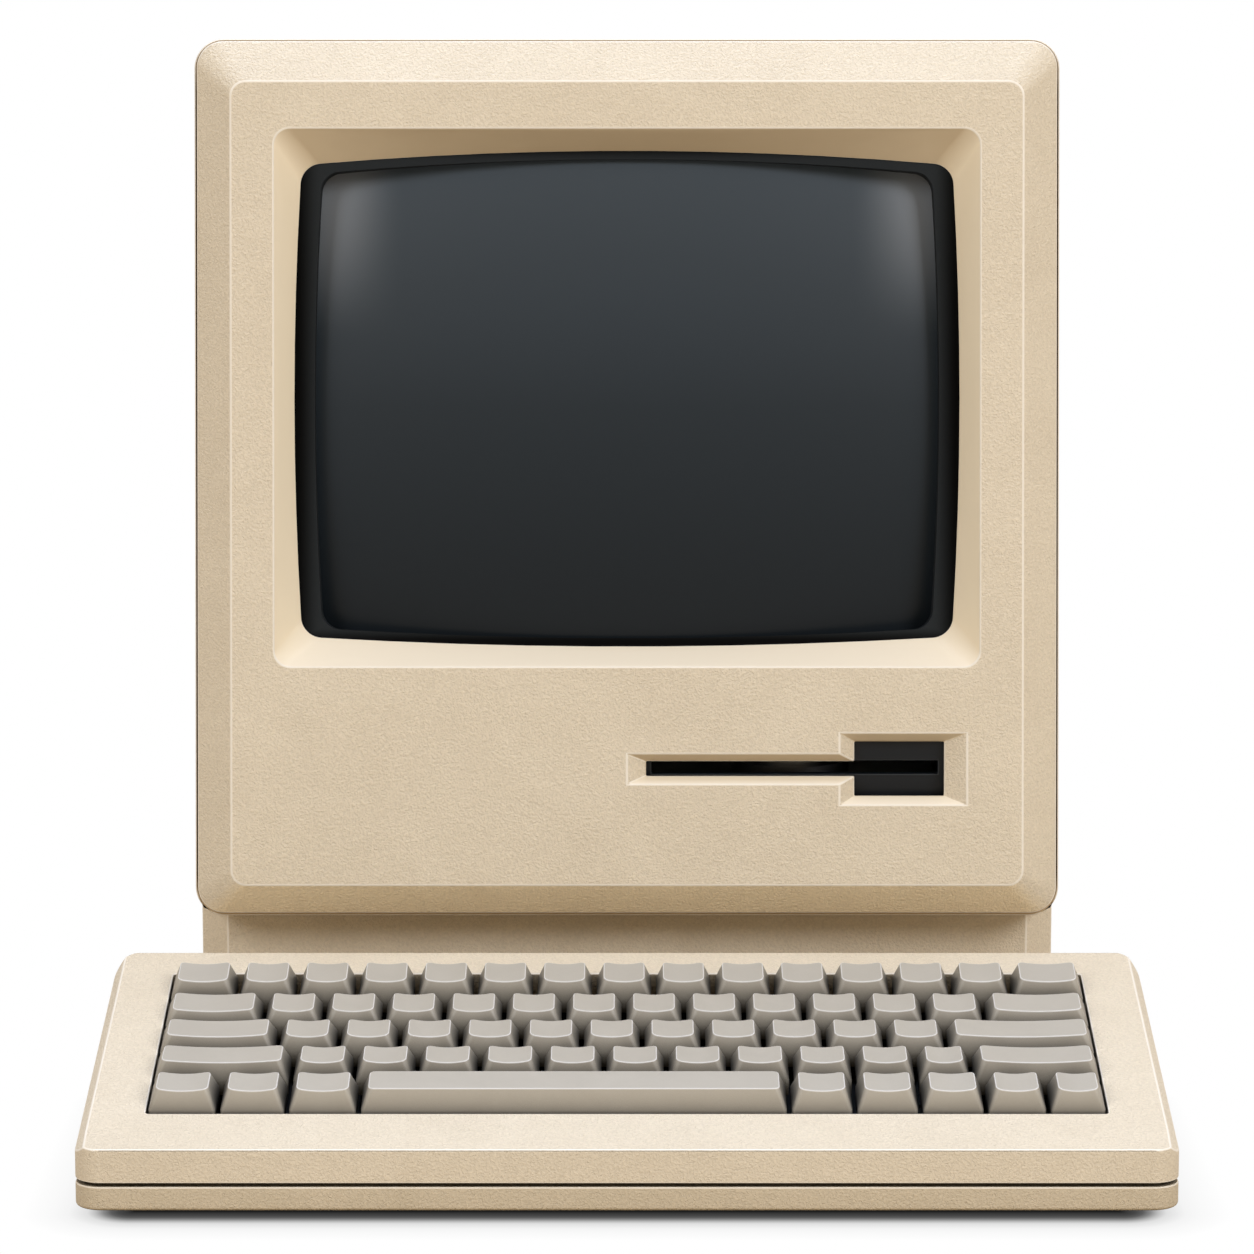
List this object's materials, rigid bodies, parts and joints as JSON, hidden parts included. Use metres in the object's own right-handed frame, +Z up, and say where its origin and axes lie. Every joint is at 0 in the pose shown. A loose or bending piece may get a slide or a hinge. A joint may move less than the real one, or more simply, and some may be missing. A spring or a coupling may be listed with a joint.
{
  "type": "desktop computer",
  "caption": "Beige desktop computer with a leaning picture-tube front, a disk slot with a finger notch, and a separate sloping keyboard whose keys can be pressed.",
  "frame": {"origin": "middle of the whole set's box, on the desk", "axes": "+Z up from the desk, +Y away from the user, +X to the user's right"},
  "size_m": [0.3326, 0.4428, 0.3442],
  "materials": {
    "beige_plastic": "fine grained",
    "key_plastic": "fine grained",
    "dark_plastic": "satin",
    "screen_black": "matte",
    "tube_glass": "polished, dark",
    "sheet_steel": "plated sheet",
    "key_plate_metal": "black",
    "circuit_board": "solder mask",
    "copper_winding": "enamelled wire",
    "speaker_paper": "paper cone",
    "black_rubber": "moulded",
    "screw_steel": "plated"
  },
  "bodies": {
    "computer": {"front_bezel": "beige_plastic", "rear_housing": "beige_plastic", "drive_fascia": "dark_plastic", "switch_frame": "dark_plastic", "power_inlet": "dark_plastic", "keyboard_port": "dark_plastic", "flyback_transformer": "dark_plastic", "drive_ribbon": "dark_plastic", "logic_chips": "dark_plastic", "board_capacitors": "dark_plastic", "screen_mask": "screen_black", "tube_faceplate": "tube_glass", "tube_funnel": "tube_glass", "base_pan": "sheet_steel", "chassis_frame": "sheet_steel", "tube_band": "sheet_steel", "drive_frame": "sheet_steel", "drive_lid": "sheet_steel", "serial_ports": "sheet_steel", "logic_board": "circuit_board", "analog_board": "circuit_board", "neck_board": "circuit_board", "deflection_yoke": "copper_winding", "speaker": "speaker_paper", "case_feet": "black_rubber", "anode_lead": "black_rubber", "case_screws": "screw_steel"},
    "keyboard": {"keyboard_top_case": "beige_plastic", "keyboard_base": "beige_plastic", "key_plate": "key_plate_metal", "key_switches": "dark_plastic", "keyboard_circuit_board": "circuit_board", "keyboard_jack": "dark_plastic", "keyboard_screws": "screw_steel", "keyboard_feet": "black_rubber"},
    "rocker": {"power_switch": "dark_plastic"},
    "dial": {"brightness_dial": "dark_plastic"},
    "spindle": {"drive_spindle": "sheet_steel"},
    "heads": {"drive_head_carriage": "dark_plastic"},
    "number_row_set": {"number_row_keys": "key_plastic"},
    "upper_letter_set": {"upper_letter_keys": "key_plastic"},
    "home_letter_set": {"home_letter_keys": "key_plastic"},
    "lower_letter_set": {"lower_letter_keys": "key_plastic"},
    "escape_key": {"escape_key": "key_plastic"},
    "delete_key": {"delete_key": "key_plastic"},
    "tab_key": {"tab_key": "key_plastic"},
    "backslash_key": {"backslash_key": "key_plastic"},
    "caps_lock_key": {"caps_lock_key": "key_plastic"},
    "return_key": {"return_key": "key_plastic"},
    "left_shift_key": {"left_shift_key": "key_plastic"},
    "right_shift_key": {"right_shift_key": "key_plastic"},
    "control_key": {"control_key": "key_plastic"},
    "alternate_key": {"alternate_key": "key_plastic"},
    "function_key": {"function_key": "key_plastic"},
    "space_bar": {"space_bar": "key_plastic"},
    "enter_key": {"enter_key": "key_plastic"},
    "left_arrow_key": {"left_arrow_key": "key_plastic"},
    "right_arrow_key": {"right_arrow_key": "key_plastic"},
    "down_arrow_key": {"down_arrow_key": "key_plastic"},
    "up_arrow_key": {"up_arrow_key": "key_plastic"}
  },
  "joints": [
    {"name": "keyboard_slide", "type": "slide", "parent": "computer", "child": "keyboard", "axis": [0, -1, 0], "range_m": [0, 0.25]},
    {"name": "power_switch_rock", "type": "hinge", "parent": "computer", "child": "rocker", "pos_m": [-0.04, 0.21395, 0.122], "axis": [1, 0, 0], "range_deg": [0, 14]},
    {"name": "brightness_dial_turn", "type": "hinge", "parent": "computer", "child": "dial", "pos_m": [0.076, 0.21645, 0.122], "axis": [0, 1, 0], "range_deg": [-135, 135]},
    {"name": "drive_spindle_spin", "type": "hinge", "parent": "computer", "child": "spindle", "pos_m": [0.0556, -0.00984, 0.09763], "axis": [0, 0, 1], "continuous": true},
    {"name": "drive_head_slide", "type": "slide", "parent": "computer", "child": "heads", "axis": [0, 1, 0], "range_m": [0, 0.02]},
    {"name": "press_characters_1", "type": "slide", "parent": "keyboard", "child": "number_row_set", "axis": [0, 0.2198, -0.9755], "range_m": [0, 0.0036], "stiffness_N_per_m": 400, "springref_m": -0.003},
    {"name": "press_characters_2", "type": "slide", "parent": "keyboard", "child": "upper_letter_set", "axis": [0, 0.2198, -0.9755], "range_m": [0, 0.0036], "stiffness_N_per_m": 400, "springref_m": -0.003},
    {"name": "press_characters_3", "type": "slide", "parent": "keyboard", "child": "home_letter_set", "axis": [0, 0.2198, -0.9755], "range_m": [0, 0.0036], "stiffness_N_per_m": 400, "springref_m": -0.003},
    {"name": "press_characters_4", "type": "slide", "parent": "keyboard", "child": "lower_letter_set", "axis": [0, 0.2198, -0.9755], "range_m": [0, 0.0036], "stiffness_N_per_m": 400, "springref_m": -0.003},
    {"name": "press_escape_key", "type": "slide", "parent": "keyboard", "child": "escape_key", "axis": [0, 0.2198, -0.9755], "range_m": [0, 0.0036], "stiffness_N_per_m": 100, "springref_m": -0.003},
    {"name": "press_delete_key", "type": "slide", "parent": "keyboard", "child": "delete_key", "axis": [0, 0.2198, -0.9755], "range_m": [0, 0.0036], "stiffness_N_per_m": 100, "springref_m": -0.003},
    {"name": "press_tab_key", "type": "slide", "parent": "keyboard", "child": "tab_key", "axis": [0, 0.2198, -0.9755], "range_m": [0, 0.0036], "stiffness_N_per_m": 100, "springref_m": -0.003},
    {"name": "press_backslash_key", "type": "slide", "parent": "keyboard", "child": "backslash_key", "axis": [0, 0.2198, -0.9755], "range_m": [0, 0.0036], "stiffness_N_per_m": 100, "springref_m": -0.003},
    {"name": "press_caps_lock_key", "type": "slide", "parent": "keyboard", "child": "caps_lock_key", "axis": [0, 0.2198, -0.9755], "range_m": [0, 0.0036], "stiffness_N_per_m": 100, "springref_m": -0.003},
    {"name": "press_return_key", "type": "slide", "parent": "keyboard", "child": "return_key", "axis": [0, 0.2198, -0.9755], "range_m": [0, 0.0036], "stiffness_N_per_m": 100, "springref_m": -0.003},
    {"name": "press_left_shift_key", "type": "slide", "parent": "keyboard", "child": "left_shift_key", "axis": [0, 0.2198, -0.9755], "range_m": [0, 0.0036], "stiffness_N_per_m": 100, "springref_m": -0.003},
    {"name": "press_right_shift_key", "type": "slide", "parent": "keyboard", "child": "right_shift_key", "axis": [0, 0.2198, -0.9755], "range_m": [0, 0.0036], "stiffness_N_per_m": 100, "springref_m": -0.003},
    {"name": "press_control_key", "type": "slide", "parent": "keyboard", "child": "control_key", "axis": [0, 0.2198, -0.9755], "range_m": [0, 0.0036], "stiffness_N_per_m": 100, "springref_m": -0.003},
    {"name": "press_alternate_key", "type": "slide", "parent": "keyboard", "child": "alternate_key", "axis": [0, 0.2198, -0.9755], "range_m": [0, 0.0036], "stiffness_N_per_m": 100, "springref_m": -0.003},
    {"name": "press_function_key", "type": "slide", "parent": "keyboard", "child": "function_key", "axis": [0, 0.2198, -0.9755], "range_m": [0, 0.0036], "stiffness_N_per_m": 100, "springref_m": -0.003},
    {"name": "press_space_bar", "type": "slide", "parent": "keyboard", "child": "space_bar", "axis": [0, 0.2198, -0.9755], "range_m": [0, 0.0036], "stiffness_N_per_m": 100, "springref_m": -0.003},
    {"name": "press_enter_key", "type": "slide", "parent": "keyboard", "child": "enter_key", "axis": [0, 0.2198, -0.9755], "range_m": [0, 0.0036], "stiffness_N_per_m": 100, "springref_m": -0.003},
    {"name": "press_left_arrow_key", "type": "slide", "parent": "keyboard", "child": "left_arrow_key", "axis": [0, 0.2198, -0.9755], "range_m": [0, 0.0036], "stiffness_N_per_m": 100, "springref_m": -0.003},
    {"name": "press_right_arrow_key", "type": "slide", "parent": "keyboard", "child": "right_arrow_key", "axis": [0, 0.2198, -0.9755], "range_m": [0, 0.0036], "stiffness_N_per_m": 100, "springref_m": -0.003},
    {"name": "press_down_arrow_key", "type": "slide", "parent": "keyboard", "child": "down_arrow_key", "axis": [0, 0.2198, -0.9755], "range_m": [0, 0.0036], "stiffness_N_per_m": 100, "springref_m": -0.003},
    {"name": "press_up_arrow_key", "type": "slide", "parent": "keyboard", "child": "up_arrow_key", "axis": [0, 0.2198, -0.9755], "range_m": [0, 0.0036], "stiffness_N_per_m": 100, "springref_m": -0.003}
  ]
}
